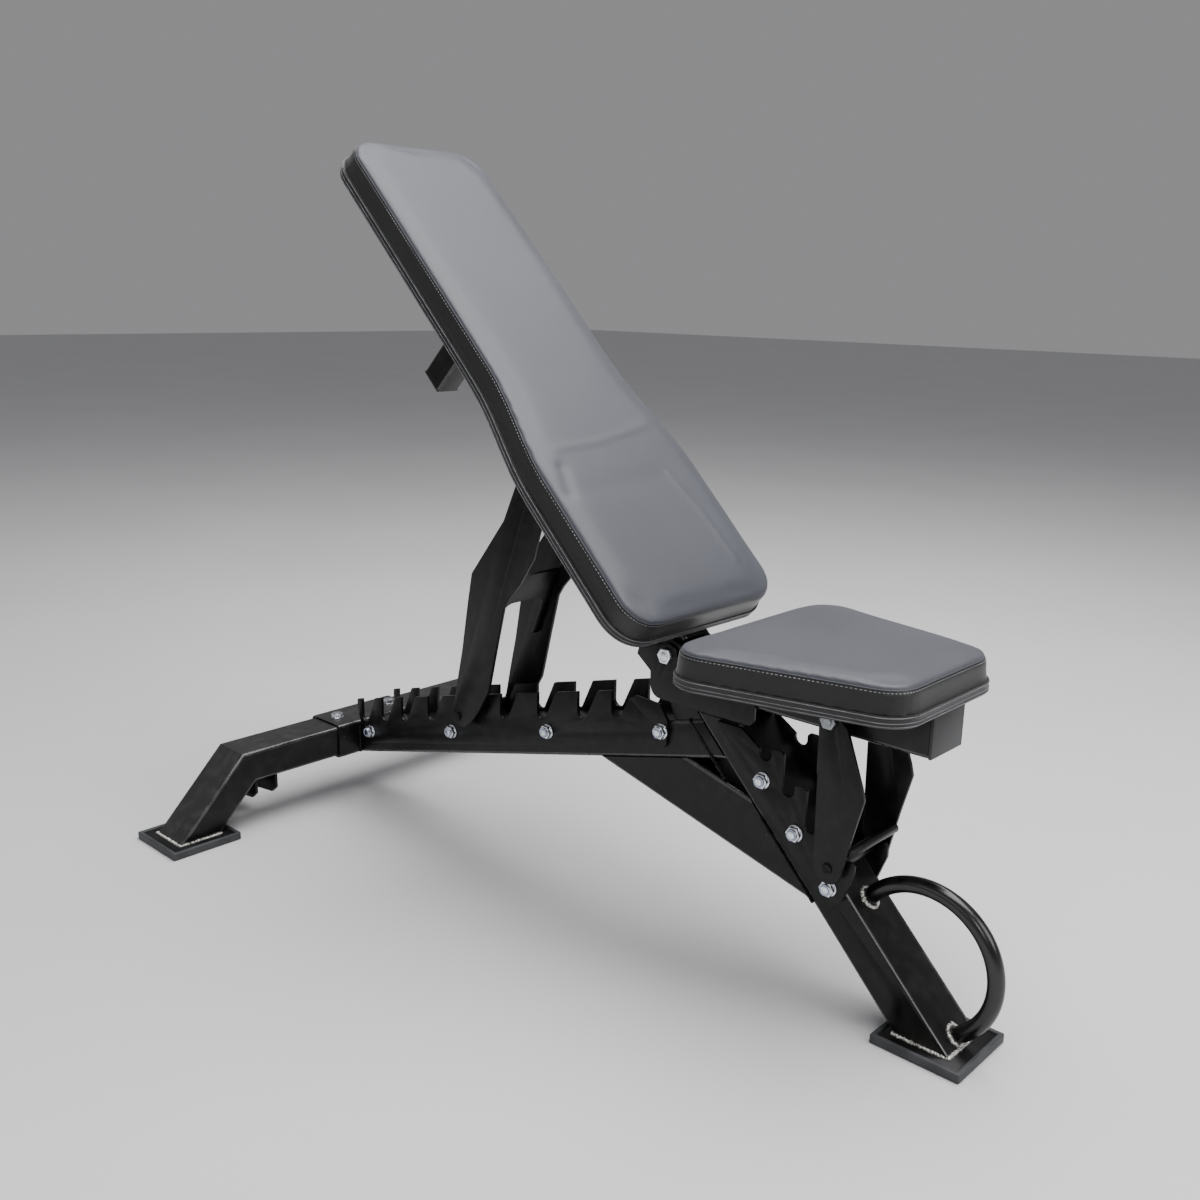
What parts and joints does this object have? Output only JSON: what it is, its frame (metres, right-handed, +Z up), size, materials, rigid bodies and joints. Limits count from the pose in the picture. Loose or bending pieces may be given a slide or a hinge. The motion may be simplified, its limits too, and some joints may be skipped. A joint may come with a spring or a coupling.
{
  "type": "adjustable weight bench",
  "caption": "Adjustable incline weight bench with a padded back and seat on toothed ladders, a sleeved rear crossbar with splayed feet, a loop handle and transport wheels.",
  "frame": {"origin": "middle of the underside of the front foot's rubber shoe", "axes": "+X along the bench towards the seat's front, +Z up, +Y towards the bench's right side; symmetric about Y = 0"},
  "size_m": [1.274, 0.778, 1.0437],
  "materials": {
    "steel": "satin black powder coat",
    "zinc": "bright zinc plate",
    "rubber": "matt moulded rubber",
    "vinyl": "fine-grained graphite vinyl",
    "plywood": "plywood wrapped by the cover",
    "plastic": "matt black plastic"
  },
  "bodies": {
    "frame": {"rear_sleeve": "steel", "rear_leg_left": "steel", "rear_leg_right": "steel", "spine_tube": "steel", "front_leg": "steel", "diagonal_tube": "steel", "foot_plates": "steel", "front_shoe": "rubber", "rear_shoe_left": "rubber", "rear_shoe_right": "rubber", "lift_handle": "steel", "back_ladder_left": "steel", "back_ladder_right": "steel", "seat_ladder_left": "steel", "seat_ladder_right": "steel", "pivot_bracket_left": "steel", "pivot_bracket_right": "steel", "frame_bolts": "zinc", "frame_nuts": "zinc", "frame_washers": "zinc", "sleeve_bolts": "zinc", "pivot_bolt": "zinc", "pivot_nut": "zinc", "back_lock_pin": "steel", "seat_lock_pin": "steel", "wheel_fork_left": "steel", "wheel_fork_right": "steel", "wheel_bolts": "zinc"},
    "wheel_left": {"wheel_left": "plastic"},
    "wheel_right": {"wheel_right": "plastic"},
    "back": {"back_frame_tube": "steel", "back_pivot_sleeve": "steel", "back_pad_wings": "steel", "back_strut_lugs": "steel", "back_strut_sleeve": "steel", "lift_post": "steel", "back_tube_caps": "plastic", "back_board": "plywood", "back_pad": "vinyl", "back_screws": "zinc"},
    "back_strut": {"back_strut_left": "steel", "back_strut_right": "steel", "back_strut_brace": "steel", "back_strut_bolt": "zinc", "back_strut_welds": "steel"},
    "seat": {"seat_frame_tube": "steel", "seat_side_left": "steel", "seat_side_right": "steel", "seat_pad_wings": "steel", "seat_strut_sleeve": "steel", "seat_tube_cap": "plastic", "seat_board": "plywood", "seat_pad": "vinyl", "seat_screws": "zinc"},
    "seat_strut": {"seat_strut_left": "steel", "seat_strut_right": "steel", "seat_strut_rod": "steel", "seat_strut_bolt": "zinc", "seat_strut_welds": "steel"}
  },
  "joints": [
    {"name": "back_recline", "type": "hinge", "parent": "frame", "child": "back", "pos_m": [-0.39, 0, 0.39], "axis": [0, 1, 0], "range_deg": [-45, 36.5]},
    {"name": "back_strut_swing", "type": "hinge", "parent": "back", "child": "back_strut", "pos_m": [-0.62935, 0, 0.58127], "axis": [0, 1, 0], "range_deg": [-62, 76]},
    {"name": "seat_tilt", "type": "hinge", "parent": "frame", "child": "seat", "pos_m": [-0.39, 0, 0.39], "axis": [0, -1, 0], "range_deg": [0, 19.6]},
    {"name": "seat_strut_swing", "type": "hinge", "parent": "seat", "child": "seat_strut", "pos_m": [-0.136, 0, 0.373], "axis": [0, 1, 0], "range_deg": [0, 51.8]},
    {"name": "wheel_left_spin", "type": "hinge", "parent": "frame", "child": "wheel_left", "pos_m": [-1.167, -0.212, 0.046], "axis": [0, 1, 0], "continuous": true},
    {"name": "wheel_right_spin", "type": "hinge", "parent": "frame", "child": "wheel_right", "pos_m": [-1.167, 0.212, 0.046], "axis": [0, 1, 0], "continuous": true}
  ],
  "couplings": [
    {"joint": "back_strut_swing", "follows": "back_recline", "ratio": -1.68},
    {"joint": "seat_strut_swing", "follows": "seat_tilt", "ratio": 2.62}
  ]
}
